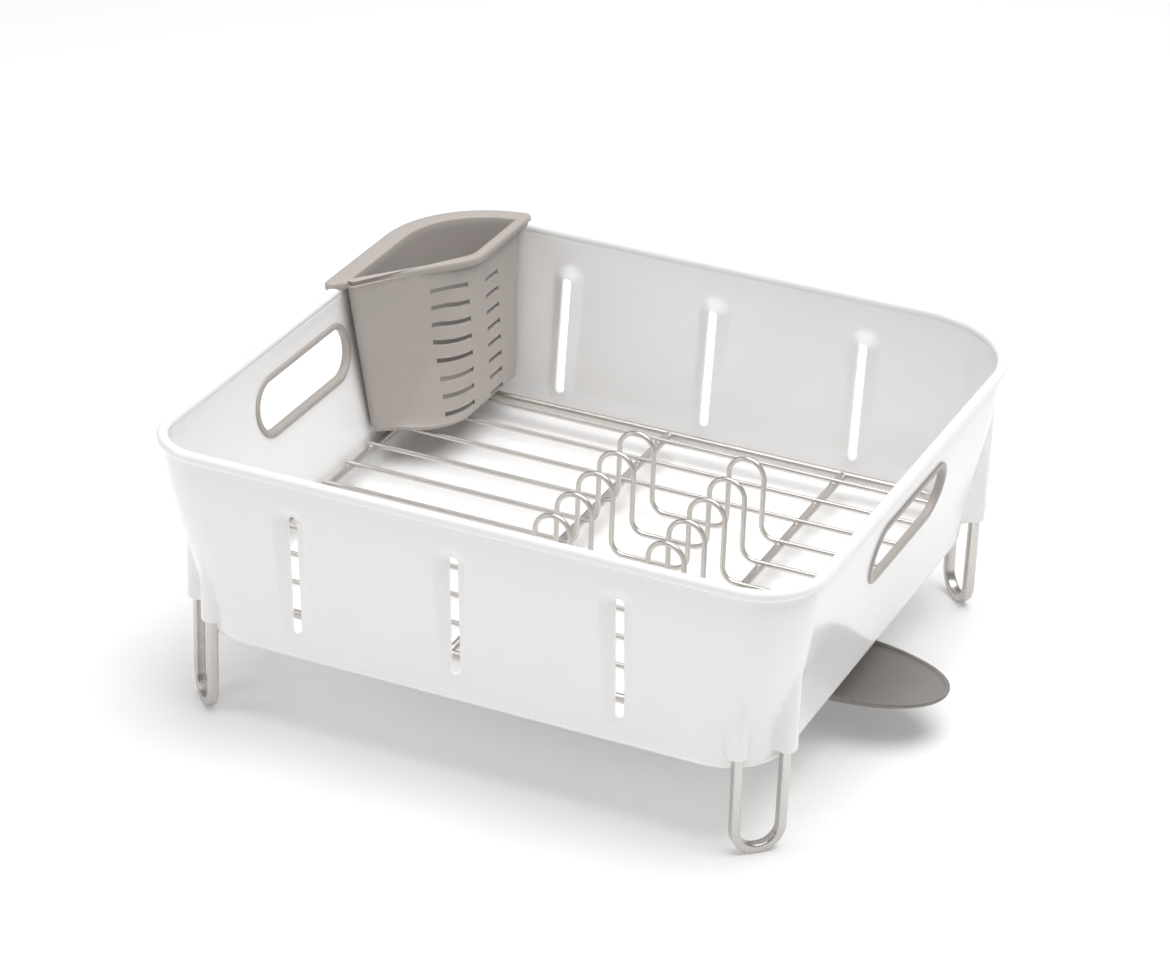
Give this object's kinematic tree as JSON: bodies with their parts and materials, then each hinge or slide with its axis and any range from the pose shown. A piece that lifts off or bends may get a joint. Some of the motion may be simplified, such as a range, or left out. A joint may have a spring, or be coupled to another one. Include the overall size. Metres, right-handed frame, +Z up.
{
  "type": "dish drying rack",
  "caption": "Free-standing dish drying rack: tapered tub on steel U feet, lift-out wire rack with upright plate loops, hook-on utensil caddy and a drain spout that swivels under the tub.",
  "frame": {"origin": "on the ground under the middle of the tub, in the plane of the four feet", "axes": "+X along the length towards the spout's rest side, +Y from the front to the back, +Z up"},
  "size_m": [0.4379, 0.397, 0.1844],
  "materials": {
    "tub_plastic": "smooth glossy white moulding",
    "collar_plastic": "smooth white moulding",
    "trim_plastic": "satin warm grey",
    "foot_steel": "satin steel bar",
    "wire_steel": "satin drawn wire",
    "caddy_plastic": "fine-textured warm grey",
    "spout_plastic": "satin dark grey",
    "seal_rubber": "plain black"
  },
  "bodies": {
    "tub": {"tub": "tub_plastic", "handle_trim_left": "trim_plastic", "handle_trim_right": "trim_plastic", "foot_front_left": "foot_steel", "foot_front_right": "foot_steel", "foot_back_left": "foot_steel", "foot_back_right": "foot_steel", "drain_collar": "collar_plastic", "spout_retainer": "spout_plastic", "drain_seal": "seal_rubber"},
    "rack": {"rack_outer_rod": "wire_steel", "rack_cross_rod_left": "wire_steel", "rack_cross_rod_right": "wire_steel", "back_wire_1": "wire_steel", "back_wire_2": "wire_steel", "back_wire_3": "wire_steel", "plate_wire_1": "wire_steel", "plate_wire_2": "wire_steel", "plate_wire_3": "wire_steel", "plate_wire_4": "wire_steel", "plate_wire_5": "wire_steel", "front_wire_1": "wire_steel", "front_wire_2": "wire_steel"},
    "caddy": {"utensil_caddy": "caddy_plastic"},
    "spout": {"swivel_spout": "spout_plastic"}
  },
  "joints": [
    {"name": "rack_lift", "type": "slide", "parent": "tub", "child": "rack", "axis": [0, 0, 1], "range_m": [0, 0.15]},
    {"name": "caddy_lift", "type": "slide", "parent": "rack", "child": "caddy", "axis": [0, 0, 1], "range_m": [0, 0.13]},
    {"name": "spout_swivel", "type": "hinge", "parent": "tub", "child": "spout", "pos_m": [0, 0, 0.0465], "axis": [0, 0, 1], "continuous": true}
  ]
}
